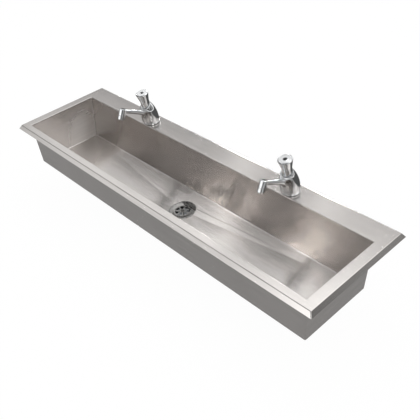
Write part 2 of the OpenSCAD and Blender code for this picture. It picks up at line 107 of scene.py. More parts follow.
def pick(kind, test):
    """Selects the corners (VERT), edges or faces of the open piece whose middle passes the test."""
    bpy.ops.mesh.select_mode(type=kind)
    bpy.ops.mesh.select_all(action="DESELECT")
    mesh = bmesh.from_edit_mesh(bpy.context.object.data)
    for part in {"VERT": mesh.verts, "EDGE": mesh.edges, "FACE": mesh.faces}[kind]:
        corners = [part] if kind == "VERT" else part.verts
        part.select_set(test(sum((c.co for c in corners), Vector()) / len(corners)))
    mesh.select_flush_mode()
    bmesh.update_edit_mesh(bpy.context.object.data)


def open_piece(piece):
    """Opens one finished piece for editing."""
    bpy.ops.object.select_all(action="DESELECT")
    piece.select_set(True)
    bpy.context.view_layer.objects.active = piece
    bpy.ops.object.mode_set(mode="EDIT")


def split_off(piece, name, test):
    """Parts the open piece's faces that pass the test from it, as a piece of their own."""
    pick("FACE", test)
    bpy.ops.mesh.separate(type="SELECTED")
    part = next(o for o in bpy.context.selected_objects if o != piece)
    part.name = part.data.name = name
    part.select_set(False)
    return part


def copy_of(piece, name):
    """A copy of a piece with a mesh of its own."""
    twin = piece.copy()
    twin.data = piece.data.copy()
    twin.name = twin.data.name = name
    scene.collection.objects.link(twin)
    return twin


def cut(piece, punch):
    """Cuts a punch out of a piece, and puts the punch away."""
    bpy.ops.object.mode_set(mode="OBJECT")
    bpy.ops.object.select_all(action="DESELECT")
    modify(piece, "BOOLEAN", operation="DIFFERENCE", solver="EXACT", object=punch)
    bpy.data.objects.remove(punch)


def turned(name, outline, steps=96):
    """A round piece about the Z axis: half its outline is drawn corner by corner, and spun.
    A corner is (radius, height) or (radius, height, how far its rounding reaches along each side)."""
    piece = begin(name, bpy.ops.mesh.primitive_plane_add, size=0.001)
    bpy.ops.mesh.merge(type="CENTER")
    bpy.ops.transform.translate(value=(outline[0][0], 0, outline[0][1]))
    for last, corner in zip(outline, outline[1:]):
        step = (corner[0] - last[0], 0, corner[1] - last[1])
        bpy.ops.mesh.extrude_vertices_move(TRANSFORM_OT_translate={"value": step})
    bpy.ops.mesh.select_all(action="SELECT")
    bpy.ops.mesh.remove_doubles(threshold=NEAR / 10)
    for corner in outline:
        if len(corner) == 3:
            pick("VERT", lambda p: (p - Vector((corner[0], 0, corner[1]))).length < NEAR)
            bpy.ops.mesh.bevel(offset=corner[2], segments=4, affect="VERTICES")
    bpy.ops.mesh.select_all(action="SELECT")
    bpy.ops.mesh.spin(steps=steps, angle=2 * math.pi, center=(0, 0, 0), axis=(0, 0, 1))
    bpy.ops.mesh.select_all(action="SELECT")
    bpy.ops.mesh.remove_doubles(threshold=NEAR / 10)
    bpy.ops.mesh.normals_make_consistent(inside=False)
    bpy.ops.object.mode_set(mode="OBJECT")
    return piece


def modify(piece, kind, **settings):
    """Adds one modifier to a piece and applies it."""
    bpy.ops.object.select_all(action="DESELECT")
    piece.select_set(True)
    bpy.context.view_layer.objects.active = piece
    modifier = piece.modifiers.new(kind.lower(), kind)
    for setting, value in settings.items():
        setattr(modifier, setting, value)
    bpy.ops.object.modifier_apply(modifier=modifier.name)


def smooth(piece, angle=40):
    """Shades a piece smooth up to a fold angle, flat areas kept flat beside their rounded edges."""
    bpy.ops.object.select_all(action="DESELECT")
    piece.select_set(True)
    bpy.context.view_layer.objects.active = piece
    bpy.ops.object.shade_smooth_by_angle(angle=math.radians(angle))
    modify(piece, "WEIGHTED_NORMAL", keep_sharp=True)


def linear(colour_hex):
    """An sRGB hex colour as linear red, green, blue and alpha."""
    channels = [int(colour_hex[i:i + 2], 16) / 255 for i in (1, 3, 5)]
    return [c / 12.92 if c <= 0.04045 else ((c + 0.055) / 1.055) ** 2.4 for c in channels] + [1]


def add(tree, kind, settings=None, links=None):
    """Adds a shader node with its settings and sockets, and links its inputs to other nodes' outputs."""
    node = tree.nodes.new(kind)
    for name, value in (settings or {}).items():
        if isinstance(name, int) or name in node.inputs:
            node.inputs[name].default_value = value
        else:
            setattr(node, name, value)
    for name, source in (links or {}).items():
        tree.links.new(source, node.inputs[name])
    return node


def finish(piece, material, body="trough", replaced=()):
    """Gives a piece its material, its body and the CAD nodes it stands for."""
    piece.data.materials.clear()
    piece.data.materials.append(material)
    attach(piece, body)
    if replaced:
        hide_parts(*replaced)


# Most of a noise texture's values lie between these
NOISE_SPAN = {"From Min": 0.3, "From Max": 0.7}
# How far the dressing by hand reaches from a weld, and how much coarser it leaves the steel
WELD_REACH = Vector((0.9, 0.1, 0.16))
WELD_COARSER = 0.25


def ground_steel(name, along, coarseness, drawn_out, weld=None):
    """Satin-ground stainless steel: fine scratches in one direction, which draw each light out
    into a soft band across them. Real scratches are about 0.1 mm wide; here they are drawn 2.4 mm
    wide, as coarse as the picture needs, and faint. By a weld, given as a point, the sheet is
    dressed by hand: coarser there, so that what it mirrors is spread wider."""
    material = bpy.data.materials.new(name)
    material.use_nodes = True
    tree = material.node_tree
    shader = tree.nodes["Principled BSDF"]
    shader.inputs["Metallic"].default_value = 1
    shader.inputs["Anisotropic"].default_value = drawn_out
    shader.inputs["Anisotropic Rotation"].default_value = 0.25
    scratch_pitch, scratch_length = 0.0024, 0.12
    stretch = [1 / scratch_length if axis == along else 1 / scratch_pitch for axis in "XYZ"]
    where = add(tree, "ShaderNodeTexCoord").outputs["Object"]
    drawn = add(tree, "ShaderNodeMapping", {"Scale": stretch}, {"Vector": where})
    scratches = add(tree, "ShaderNodeTexNoise", {"Scale": 1, "Detail": 4, "Roughness": 0.6},
                    {"Vector": drawn.outputs[0]})
    clouds = add(tree, "ShaderNodeTexNoise", {"Scale": 9, "Detail": 2, "Roughness": 0.5}, {"Vector": where})
    tone = add(tree, "ShaderNodeMapRange", {**NOISE_SPAN, "To Min": 0.92, "To Max": 1.05},
               {"Value": scratches.outputs[0]})
    cloud_tone = add(tree, "ShaderNodeMapRange", {**NOISE_SPAN, "To Min": 0.97, "To Max": 1.02},
                     {"Value": clouds.outputs[0]})
    tones = add(tree, "ShaderNodeMath", {"operation": "MULTIPLY"},
                {0: tone.outputs[0], 1: cloud_tone.outputs[0]})
    rough = add(tree, "ShaderNodeMapRange",
                {**NOISE_SPAN, "To Min": coarseness - 0.02, "To Max": coarseness + 0.025},
                {"Value": scratches.outputs[0]})
    if weld:
        off = add(tree, "ShaderNodeVectorMath", {"operation": "SUBTRACT", 1: weld}, {0: where})
        off = add(tree, "ShaderNodeVectorMath", {"operation": "DIVIDE", 1: WELD_REACH}, {0: off.outputs[0]})
        off = add(tree, "ShaderNodeVectorMath", {"operation": "LENGTH"}, {0: off.outputs[0]})
        worn = add(tree, "ShaderNodeMapRange",
                   {"interpolation_type": "SMOOTHSTEP", "From Min": 1.0, "From Max": 0.0,
                    "To Max": WELD_COARSER}, {"Value": off.outputs["Value"]})
        rough = add(tree, "ShaderNodeMath", {"operation": "ADD"}, {0: worn.outputs[0], 1: rough.outputs[0]})
    colour = add(tree, "ShaderNodeVectorMath", {"operation": "SCALE", 0: linear(STEEL_HEX)[:3]},
                 {"Scale": tones.outputs[0]})
    relief = add(tree, "ShaderNodeBump", {"Strength": 0.15, "Distance": 0.00005},
                 {"Height": scratches.outputs[0]})
    grain = add(tree, "ShaderNodeCombineXYZ", {axis: float(axis == along) for axis in "XYZ"})
    tree.links.new(colour.outputs[0], shader.inputs["Base Color"])
    tree.links.new(rough.outputs[0], shader.inputs["Roughness"])
    tree.links.new(relief.outputs[0], shader.inputs["Normal"])
    tree.links.new(grain.outputs[0], shader.inputs["Tangent"])
    return material


LEFT_WELD = (-0.56, 0.035, -0.12)
steel_rim = ground_steel("satin_ground_stainless_steel_rim", "X", 0.18, 0.2)
steel_along = ground_steel("satin_ground_stainless_steel", "X", 0.18, 1.0)
steel_floor = ground_steel("satin_ground_stainless_steel_floor", "X", 0.22, 1.0)
steel_across = ground_steel("satin_ground_stainless_steel_end_wall", "Y", 0.19, 1.0, weld=LEFT_WELD)

# One skin of faces: rim, mouth, walls and foot
skin = begin("rim_sheet", bpy.ops.mesh.primitive_plane_add, size=2)
bpy.ops.transform.resize(value=(CREASE_X, CREASE_Y, 1), center_override=(0, 0, 0))
bpy.ops.transform.translate(value=(0, 0, RIM_TOP))
bpy.ops.mesh.inset(thickness=FRONT_RIM)
inset_x, inset_y = CREASE_X - FRONT_RIM, CREASE_Y - FRONT_RIM
pick("VERT", lambda p: abs(p.x) < CREASE_X - NEAR)
bpy.ops.transform.resize(value=(MOUTH_X / inset_x, 1, 1), center_override=(0, 0, 0))
pick("VERT", lambda p: abs(p.x) < CREASE_X - NEAR and p.y > 0)
bpy.ops.transform.translate(value=(0, MOUTH_BACK - inset_y, 0))
pick("FACE", lambda p: abs(p.x) < 0.1 and abs(p.y) < 0.05)
bpy.ops.mesh.extrude_region_move(TRANSFORM_OT_translate={"value": (0, 0, -BOWL_DROP)})
bpy.ops.transform.resize(value=(FOOT_X / MOUTH_X, 1, 1), center_override=(0, 0, 0))
pick("VERT", lambda p: p.z < FOOT_Z + NEAR and p.y < 0)
bpy.ops.transform.translate(value=(0, FOOT_FRONT + inset_y, 0))
pick("VERT", lambda p: p.z < FOOT_Z + NEAR and p.y > 0)
bpy.ops.transform.translate(value=(0, FOOT_BACK - MOUTH_BACK, 0))

# The sloping edge goes a little past the worktop's plane here, and is cut level below
past = 1.25
pick("EDGE", lambda p: abs(p.x) > CREASE_X - NEAR or abs(p.y) > CREASE_Y - NEAR)
bpy.ops.mesh.extrude_region_move(TRANSFORM_OT_translate={"value": (0, 0, -RIM_TOP * past)})
bpy.ops.transform.resize(value=(1 + (RIM_X / CREASE_X - 1) * past, 1 + (RIM_Y / CREASE_Y - 1) * past, 1),
                         center_override=(0, 0, 0))

# Folds: the bowl's corners and foot, then the mouth, then the rim's outer edge
in_bowl = lambda p: abs(p.x) < MOUTH_X + NEAR and -inset_y - NEAR < p.y < MOUTH_BACK + NEAR
is_floor = lambda p: p.z < FOOT_Z + NEAR and abs(p.x) < 0.1 and abs(p.y) < 0.05
pick("EDGE", lambda p: in_bowl(p) and p.z < RIM_TOP - NEAR)
bpy.ops.mesh.bevel(offset=CORNER_FOLD, segments=4)
pick("EDGE", lambda p: in_bowl(p) and p.z > RIM_TOP - NEAR)
bpy.ops.mesh.bevel(offset=MOUTH_FOLD, segments=4)
pick("EDGE", lambda p: abs(p.x) > CREASE_X - NEAR or abs(p.y) > CREASE_Y - NEAR)
bpy.ops.mesh.select_mode(type="EDGE")
mesh = bmesh.from_edit_mesh(skin.data)
for edge in mesh.edges:
    if edge.is_boundary:
        edge.select_set(False)
bmesh.update_edit_mesh(skin.data)
bpy.ops.mesh.bevel(offset=EDGE_FOLD, segments=3)

# The floor is parted from the walls a little way in from the foot
pick("FACE", is_floor)
bpy.ops.mesh.inset(thickness=SEAM - CORNER_FOLD)
floor = split_off(skin, "creased_floor", is_floor)

# The mouth's fold ends in a short lip, and each upright corner's fold belongs to an end wall
lean = (MOUTH_X - FOOT_X) / BOWL_DROP
pick("FACE", lambda p: in_bowl(p) and FOOT_Z + CORNER_FOLD < p.z < RIM_TOP - LIP)
bpy.ops.mesh.bisect(plane_co=(0, 0, RIM_TOP - LIP), plane_no=(0, 0, 1))
for side in (-1, 1):
    pick("FACE", lambda p: in_bowl(p) and FOOT_Z + NEAR < p.z < RIM_TOP - LIP and abs(p.x) < 0.1)
    bpy.ops.mesh.bisect(plane_co=(side * (MOUTH_X - SEAM), 0, RIM_TOP), plane_no=(1, 0, -side * lean))
walls = {
    "left_end_wall": lambda p: p.x < -0.5,
    "right_end_wall": lambda p: p.x > 0.5,
    "front_wall": lambda p: p.y < 0,
    "back_wall": lambda p: p.y > 0,
}
for wall, on_wall in walls.items():
    walls[wall] = split_off(skin, wall + "_sheet", lambda p: in_bowl(p) and p.z < RIM_TOP - LIP and on_wall(p))
bpy.ops.object.mode_set(mode="OBJECT")

# The rim gets its thickness, its edge is cut level with the worktop, and the taps' holes are punched
modify(skin, "SOLIDIFY", thickness=SHEET, offset=-1, use_even_offset=True)
bpy.ops.object.mode_set(mode="EDIT")
bpy.ops.mesh.select_all(action="SELECT")
bpy.ops.mesh.bisect(plane_co=(0, 0, 0), plane_no=(0, 0, 1), clear_inner=True, use_fill=True)
for tap_x in TAP_XS.values():
    cut(skin, begin("punch", bpy.ops.mesh.primitive_cylinder_add, vertices=64, radius=TAP_HOLE_R,
                    depth=0.1, location=(tap_x, TAP_Y, 0)))
smooth(skin)
finish(skin, steel_rim, replaced=["rim_deck"])
for wall, sheet in walls.items():
    modify(sheet, "SOLIDIFY", thickness=SHEET, offset=-1, use_even_offset=True)
    smooth(sheet)
    finish(sheet, steel_across if "end" in wall else steel_along, replaced=[wall])


def settle(piece):
    """Lists a piece's corners and faces by their place, in tenths of a micrometre. The tools leave
    them in an order that changes from run to run, and the cuts that follow depend on it."""
    places = [tuple(round(c, 7) for c in v.co) for v in piece.data.vertices]
    corners = sorted(set(places))
    number = {place: n for n, place in enumerate(corners)}
    faces = []
    for face in piece.data.polygons:
        loop = [number[places[v]] for v in face.vertices]
        start = loop.index(min(loop))
        faces.append(loop[start:] + loop[:start])
    piece.data.clear_geometry()
    piece.data.from_pydata(corners, [], sorted(faces))
    piece.data.update()


# The floor's middle is drawn down to the waste, which creases it into four planes, and a round
# recess for the grate is pressed into it
open_piece(floor)
bpy.ops.mesh.select_all(action="SELECT")
bpy.ops.mesh.poke()
pick("VERT", lambda p: abs(p.x) < 0.1)
poked = next(v.co.copy() for v in bmesh.from_edit_mesh(floor.data).verts if v.select)
bpy.ops.transform.translate(value=WASTE - poked)
pick("EDGE", lambda p: 0.2 < abs(p.x) < 0.4)
bpy.ops.mesh.mark_sharp()
bpy.ops.object.mode_set(mode="OBJECT")
under_floor = copy_of(floor, "under_floor")
open_piece(under_floor)
bpy.ops.mesh.select_all(action="SELECT")
bpy.ops.mesh.extrude_region_move(TRANSFORM_OT_translate={"value": (0, 0, -UNDER_FLOOR)})
bpy.ops.mesh.select_all(action="SELECT")
bpy.ops.mesh.normals_make_consistent(inside=False)
bpy.ops.object.mode_set(mode="OBJECT")
modify(floor, "SOLIDIFY", thickness=SHEET, offset=-1, use_even_offset=True)
recess = turned("recess", [
    (WASTE_HOLE_R, RECESS_SEAT - SHEET), (RECESS_R + SHEET, RECESS_SEAT - SHEET, 0.0014),
    (RECESS_R + SHEET, ABOVE_FLOOR), (RECESS_R, ABOVE_FLOOR), (RECESS_R, RECESS_SEAT, 0.0008),
    (WASTE_HOLE_R, RECESS_SEAT), (WASTE_HOLE_R, RECESS_SEAT - SHEET)])
recess.data.transform(Matrix.Translation((WASTE.x, WASTE.y, 0)))
settle(recess)
modify(recess, "BOOLEAN", operation="INTERSECT", solver="EXACT", object=under_floor)
bpy.data.objects.remove(under_floor)
cut(floor, begin("punch", bpy.ops.mesh.primitive_cylinder_add, vertices=96, radius=RECESS_R,
                 depth=0.1, location=WASTE))
settle(recess)
modify(floor, "BOOLEAN", operation="UNION", solver="EXACT", object=recess)
bpy.data.objects.remove(recess)
modify(floor, "BEVEL", width=0.0006, segments=3, limit_method="ANGLE", angle_limit=SHARP)
smooth(floor)
finish(floor, steel_floor, replaced=["bowl_floor"])

# ---------- Under the rim and bowl ----------
# What holds the trough down and quiet: a foam strip between rim and worktop, a bent earth tag and
# punched backing plates spot-welded to the sheet, two bitumen pads stuck under the floor, and
# three clamps of bent zinc-plated strip, each on a stud with a nut.


def dressed(node, material, edge, body="trough"):
    """A copy of a CAD solid, its triangles merged to plain faces and its edges given the small
    rounding that cutting, pressing or moulding leaves."""
    piece = copy_of(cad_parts[node], node + "_piece")
    piece.parent = None
    piece.hide_render = piece.hide_viewport = False
    open_piece(piece)
    bpy.ops.mesh.select_all(action="SELECT")
    bpy.ops.mesh.remove_doubles(threshold=NEAR)
    bpy.ops.mesh.dissolve_limited(angle_limit=math.radians(1))
    bpy.ops.object.mode_set(mode="OBJECT")
    if edge:
        modify(piece, "BEVEL", width=edge, segments=2, limit_method="ANGLE", angle_limit=SHARP)
    smooth(piece)
    finish(piece, material, body, [node])
    return piece


def plain_finish(name, colour, metallic, roughness, grain, depth, uneven=0.08, tint=0.05):
    """A finish with a cloudy, slightly uneven tone and gloss, and a relief of one grain size. Real
    grain is mostly finer than a tenth of a millimetre, and is drawn 0.6 to 6 mm wide to show."""
    material = bpy.data.materials.new(name)
    material.use_nodes = True
    tree = material.node_tree
    shader = tree.nodes["Principled BSDF"]
    shader.inputs["Metallic"].default_value = metallic
    where = add(tree, "ShaderNodeTexCoord").outputs["Object"]
    grains = add(tree, "ShaderNodeTexNoise", {"Scale": 1 / grain, "Detail": 3}, {"Vector": where})
    clouds = add(tree, "ShaderNodeTexNoise", {"Scale": 45, "Detail": 2}, {"Vector": where})
    tone = add(tree, "ShaderNodeMapRange", {**NOISE_SPAN, "To Min": 1 - tint, "To Max": 1 + tint / 2},
               {"Value": clouds.outputs[0]})
    colour = add(tree, "ShaderNodeVectorMath", {"operation": "SCALE", 0: linear(colour)[:3]},
                 {"Scale": tone.outputs[0]})
    rough = add(tree, "ShaderNodeMapRange",
                {**NOISE_SPAN, "To Min": max(roughness - uneven, 0.02), "To Max": roughness + uneven},
                {"Value": grains.outputs[0]})
    relief = add(tree, "ShaderNodeBump", {"Strength": 0.4, "Distance": depth}, {"Height": grains.outputs[0]})
    tree.links.new(colour.outputs[0], shader.inputs["Base Color"])
    tree.links.new(rough.outputs[0], shader.inputs["Roughness"])
    tree.links.new(relief.outputs[0], shader.inputs["Normal"])
    return material


# Closed-cell polyethylene foam, cut from sheet: grey and dull, with burst cells half a millimetre
# wide at its cut sides, drawn 1.2 mm wide to show
foam = plain_finish("closed_cell_polyethylene_foam", "#3A3A3C", 0, 0.85, 0.0012, 0.0002)
# Bitumen sheet: near black, dull with a faint waxy shine where the roller pressed it
bitumen = plain_finish("rolled_bitumen_sheet", "#242424", 0, 0.7, 0.002, 0.0003)
# Bright zinc plate over cut strip: cool grey, soft sheen, slightly cloudy from the passivating bath
zinc = plain_finish("bright_zinc_plate", "#A9ACAE", 1, 0.34, 0.003, 0.00002, tint=0.12)
# Moulded rubber: black and matt, with the fine tooth of its mould
rubber = plain_finish("moulded_black_rubber", "#1D1D1D", 0, 0.62, 0.0008, 0.00004)
# Machined brass: warm yellow, satin from the lathe
brass = plain_finish("turned_brass", "#C0A15C", 1, 0.27, 0.0006, 0.00001, tint=0.06)
# Moulded natural nylon: milky white with a soft skin
nylon = plain_finish("moulded_natural_nylon", "#E0E0D8", 0, 0.42, 0.0015, 0.00002)
# Drawn stainless wire: grey and bright along the wire
wire = plain_finish("drawn_stainless_wire", "#A8AAAC", 1, 0.25, 0.0008, 0.00001)

dressed("sealing_strip", foam, 0.0012)
dressed("tap_backing_plates", zinc, 0.0004)
dressed("deadening_pads", bitumen, 0.0008)
dressed("earth_tag", steel_along, 0.0003)
dressed("clamp_studs", zinc, 0.0005)
dressed("clamp_claws", zinc, 0.0006)
dressed("clamp_nuts", zinc, 0.0004)

# ---------- Waste ----------
# A slotted waste in the floor's recess: a polished stainless grate drawn down by one long screw
# to the cross web of a chromed brass body under the floor, with a rubber seal on each side.

# Polished stainless pressing: grey, its lights soft
polished = plain_finish("polished_stainless_pressing", "#A6A5A3", 1, 0.27, 0.004, 0.00001, uneven=0.05)
# Machined stainless screw: coloured darker than the grate, with a soft sheen
machined = plain_finish("machined_stainless_screw", "#6B6A68", 1, 0.35, 0.002, 0.00001, uneven=0.06)
# Bright chrome plate over polished brass: a cold clear mirror, with hardly any haze
chrome = plain_finish("bright_chrome_plate", "#DDDEDF", 1, 0.06, 0.006, 0.000004, uneven=0.03, tint=0.02)

dressed("waste_grate", polished, 0.0003)
dressed("waste_screw", machined, 0.0002)
dressed("waste_upper_seal", rubber, 0.0002)
dressed("waste_lower_seal", rubber, 0.0005)
dressed("waste_body", chrome, 0.0005)

# ---------- Taps ----------
# Two self-closing push taps on the ledge. Each body is one chromed brass casting, polished all
# over: a round foot, a dome that leans forward, and a collar that flows into a thin rising spout
# arm with a nozzle socket. They stand on rubber gaskets, and are held from below by a nut.
GASKET = 0.001
BASE_Z = RIM_TOP + GASKET
FOOT_R = 0.025
DOME_R, DOME_HALF, DOME_MID = 0.0265, 0.057, 0.020
HEAD_LEAN = math.radians(9.5)
MOUTH_MID, MOUTH_SLOPE = 0.064, math.radians(25.8)
HEAD_BORE_R, SHOULDER = 0.0138, 0.038
ARM_RISE = math.radians(26.6)
ARM_L, ARM_ROOT_R, ARM_END_R, ARM_FLARE = 0.084, 0.015, 0.0055, 0.014
ARM_JOINT = Vector((0, -0.0935, 0.076))
ARM_WAY = Vector((0, -math.cos(ARM_RISE), math.sin(ARM_RISE)))
NOZZLE_WAY = Vector((0, -math.sin(ARM_RISE), -math.cos(ARM_RISE)))
NOZZLE_TOP = ARM_JOINT - 0.0075 * NOZZLE_WAY
NOZZLE_R = 0.0105
head_turn = Matrix.Rotation(HEAD_LEAN, 4, "X")


def dome_loop(height, slope=0.0):
    """The dome's outline where a plane that slopes down to the front crosses its leaning axis at a
    height: its middle, half its width and depth, and its turn."""
    rise = height - DOME_MID
    t = math.tan(slope)
    a = DOME_R ** -2 + (t / DOME_HALF) ** 2
    b = rise * t / DOME_HALF ** 2
    c = (rise / DOME_HALF) ** 2 - 1
    middle = Vector((0, -b / a, height - t * b / a))
    half_y = math.sqrt(b * b - a * c) / a / math.cos(slope)
    half_x = DOME_R * math.sqrt(1 - ((middle.z - DOME_MID) / DOME_HALF) ** 2 - (middle.y / DOME_R) ** 2)
    return head_turn @ middle, half_x, half_y, HEAD_LEAN + slope


def bore_loop(radius, height, slope=0.0):
    """A loop round the head's bore."""
    return head_turn @ Vector((0, 0, height)), radius, radius / math.cos(slope), HEAD_LEAN + slope


def level_loop(radius, height):
    """A level loop round the foot's axis."""
    return Vector((0, 0, height)), radius, radius, 0.0


def arm_loop(along):
    """A loop round the spout arm, which flares where it leaves the dome."""
    radius = ARM_END_R + (ARM_ROOT_R - ARM_END_R) * math.exp(-along / ARM_FLARE)
    return ARM_JOINT - (ARM_L - along) * ARM_WAY, radius, radius, math.pi / 2 - ARM_RISE


def socket_loop(radius, down):
    """A loop round the nozzle socket's axis, some way down from its top."""
    return NOZZLE_TOP + down * NOZZLE_WAY, radius, radius, -ARM_RISE


def sweep(corners, loops):
    """Draws a loop of corners and extrudes it through the places, sizes and turns given. The loops
    are a little larger than the surface, because subdivision draws a cage of few corners in.
    transform.rotate turns the other way round when Blender has no window."""
    draws_in = 6 / (4 + 2 * math.cos(2 * math.pi / corners))
    bpy.ops.mesh.select_mode(type="VERT")
    bpy.ops.mesh.select_all(action="DESELECT")
    bpy.ops.mesh.primitive_circle_add(vertices=corners, radius=1)
    for index, (middle, half_x, half_y, turn) in enumerate(loops):
        if index:
            bpy.ops.mesh.extrude_region_move()
            was_middle, was_x, was_y, was_turn = loops[index - 1]
            bpy.ops.transform.translate(value=-was_middle)
            bpy.ops.transform.rotate(value=was_turn, orient_axis="X", center_override=(0, 0, 0))
            size = (half_x / was_x, half_y / was_y, 1)
        else:
            size = (half_x * draws_in, half_y * draws_in, 1)
        bpy.ops.transform.resize(value=size, center_override=(0, 0, 0))
        bpy.ops.transform.rotate(value=-turn, orient_axis="X", center_override=(0, 0, 0))
        bpy.ops.transform.translate(value=middle)


def bridge(test):
    """Joins the two open loops whose edges pass the test."""
    pick("EDGE", test)
    mesh = bmesh.from_edit_mesh(bpy.context.object.data)
    for edge in mesh.edges:
        if edge.select and len(edge.link_faces) > 1:
            edge.select_set(False)
    mesh.select_flush_mode()
    bmesh.update_edit_mesh(bpy.context.object.data)
    bpy.ops.mesh.bridge_edge_loops()


# Foot, dome, collar and the bore for the head, down to the tail's hole
TAIL_R = 0.0105
tap = begin("left_tap_casting", bpy.ops.mesh.primitive_circle_add, vertices=3)
bpy.ops.mesh.delete(type="VERT")
sweep(16, [
    level_loop(FOOT_R, 0), level_loop(FOOT_R, 0.0004), level_loop(FOOT_R, 0.0028),
    level_loop(FOOT_R, 0.0036), level_loop(FOOT_R - 0.0009, 0.0038), level_loop(FOOT_R - 0.0009, 0.0046),
    level_loop(FOOT_R + 0.0001, 0.0049),
    dome_loop(0.0115), dome_loop(0.020), dome_loop(0.029),
    dome_loop(0.039, 0.08), dome_loop(0.0505, 0.22), dome_loop(0.061, 0.40),
    dome_loop(0.0634, MOUTH_SLOPE),
    (head_turn @ Vector((0, -0.0043, 0.0620)), 0.0172, 0.0185, HEAD_LEAN + MOUTH_SLOPE),
    (head_turn @ Vector((0, -0.0010, 0.0636)), HEAD_BORE_R + 0.0009, 0.0160, HEAD_LEAN + MOUTH_SLOPE),
    bore_loop(HEAD_BORE_R, 0.0632, MOUTH_SLOPE), bore_loop(HEAD_BORE_R, 0.055, 0.2),
    bore_loop(HEAD_BORE_R, SHOULDER + 0.0005), bore_loop(HEAD_BORE_R - 0.0005, SHOULDER),
    bore_loop(0.0112, SHOULDER), bore_loop(0.0112, 0.012), level_loop(TAIL_R, 0.0055),
    level_loop(TAIL_R, 0.0004), level_loop(TAIL_R, 0)])
bridge(lambda p: p.z < 0.0001)

# Arm and nozzle socket, bridged to the dome and to each other
from_head = head_turn.inverted()
root_low, root_high = 0.036, 0.0505
pick("FACE", lambda p: abs(p.x) < 0.008 and (from_head @ p).y < -0.015
     and root_low < (from_head @ p).z < root_high)
bpy.ops.mesh.delete(type="FACE")
sweep(8, [arm_loop(a) for a in (0.0125, 0.017, 0.023, 0.031, 0.042, 0.056, 0.070, 0.0725)])
sweep(12, [socket_loop(r, d) for r, d in (
    (0.0050, 0), (0.0088, 0), (0.0099, 0.0002), (NOZZLE_R, 0.0008), (NOZZLE_R, 0.0020),
    (NOZZLE_R, 0.0075), (NOZZLE_R, 0.0130), (NOZZLE_R, 0.0192), (NOZZLE_R - 0.0002, 0.0199),
    (NOZZLE_R - 0.0010, 0.0200), (0.0086, 0.0200), (0.0086, 0.0195), (0.0086, 0.0125), (0.0082, 0.0120),
    (0.0062, 0.0120), (0.0060, 0.0115), (0.0060, 0.0035), (0.0050, 0.0030))])
for cap_down in (0, 0.0030):
    pick("VERT", lambda p: (p - NOZZLE_TOP - cap_down * NOZZLE_WAY).length < 0.0056)
    bpy.ops.mesh.edge_face_add()
pick("FACE", lambda p: abs(p.x) < 0.005 and -0.0118 < (p - NOZZLE_TOP).dot(ARM_WAY) < -0.009
     and 0.0020 < (p - NOZZLE_TOP).dot(NOZZLE_WAY) < 0.0130)
bpy.ops.mesh.delete(type="FACE")
bridge(lambda p: (p - NOZZLE_TOP).length < 0.020)
bridge(lambda p: p.z > 0.002 and (p - NOZZLE_TOP).length > 0.030)
bpy.ops.mesh.select_all(action="SELECT")
bpy.ops.mesh.normals_make_consistent(inside=False)
bpy.ops.object.mode_set(mode="OBJECT")
modify(tap, "SUBSURF", levels=3, render_levels=3)
smooth(tap, 60)

# Push head: turned and chromed, an inverted cone on a skirt that slides in the collar. Its top is
# a bevelled ring round a shallow disc, with a dark plug over the screw that holds it to the stem.
head = turned("left_push_head_turning", [
    (0, 0.083), (0.0116, 0.083, 0.0004), (0.0116, 0.050, 0.0003), (0.0135, 0.050, 0.0004),
    (0.0135, 0.0780, 0.004), (0.0187, 0.1012, 0.0006), (0.0190, 0.1022, 0.0004), (0.0190, 0.1036, 0.0006),
    (0.0167, 0.1058, 0.0004), (0.0160, 0.1052, 0.0003), (0.0150, 0.1052, 0.0004), (0.0143, 0.1057, 0.0004),
    (0.0056, 0.1054, 0.0003), (0.0052, 0.1040), (0, 0.1040)])
plug = turned("left_head_plug", [
    (0, 0.1041), (0.0050, 0.1041), (0.0050, 0.1054, 0.0004), (0.0035, 0.1059, 0.0006), (0, 0.1060)], steps=48)
nozzle = turned("left_nozzle_ring", [
    (0.0064, 0.0320), (0.0064, 0.0305), (0.0072, 0.0305), (0.0072, 0.0140), (0.0085, 0.0140),
    (0.0085, 0.0203), (0.0105, 0.0203, 0.0003), (0.0105, 0.0310, 0.0003), (0.0097, 0.0320, 0.0003),
    (0.0064, 0.0320)])
head.data.transform(head_turn)
plug.data.transform(head_turn)
nozzle.data.transform(Matrix.Translation(NOZZLE_TOP) @ Matrix.Rotation(math.pi - ARM_RISE, 4, "X"))

# Dark moulded plug: black with the dull gloss of a plain moulding
black_moulding = plain_finish("black_plastic_moulding", "#17171A", 0, 0.3, 0.001, 0.00002)
parts = {
    "tap_body": (tap, chrome, "trough", "chrome_plate"),
    "nozzle": (nozzle, chrome, "trough", "chrome_plate"),
    "push_head": (head, chrome, "left_push", "chrome_plate"),
    "indicator": (plug, black_moulding, "left_push", "indicator"),
}
for node, (piece, material, body, slot) in parts.items():
    if piece is not tap:
        smooth(piece)
    other = copy_of(piece, piece.name.replace("left", "right"))
    for side, one in (("left", piece), ("right", other)):
        one.data.transform(Matrix.Translation((TAP_XS[side], TAP_Y, BASE_Z)))
        finish(one, material, body.replace("left", side), [f"{side}_{node}"])

dressed("tap_base_gaskets", rubber, 0.0002)
dressed("tap_deck_washers", nylon, 0.0003)
dressed("tap_backnuts", brass, 0.0005)
dressed("nozzle_washers", rubber, 0.0002)
dressed("flow_straighteners", nylon, 0.0002)
inside = {"cartridge": (brass, "brass", "trough"), "cartridge_seal": (rubber, "seal", "trough"),
          "inlet_tail": (brass, "brass", "trough"), "head_screw": (zinc, "zinc_plate", "push"),
          "spindle": (brass, "brass", "push"), "piston_seal": (rubber, "seal", "push")}
for side, tap_x in TAP_XS.items():
    for node, (material, slot, body) in inside.items():
        dressed(f"{side}_{node}", material, 0.0002, body if body == "trough" else side + "_push")
    # The coil gets a mesh of its own
    spring = dressed(side + "_return_spring", wire, 0)
    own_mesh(spring)

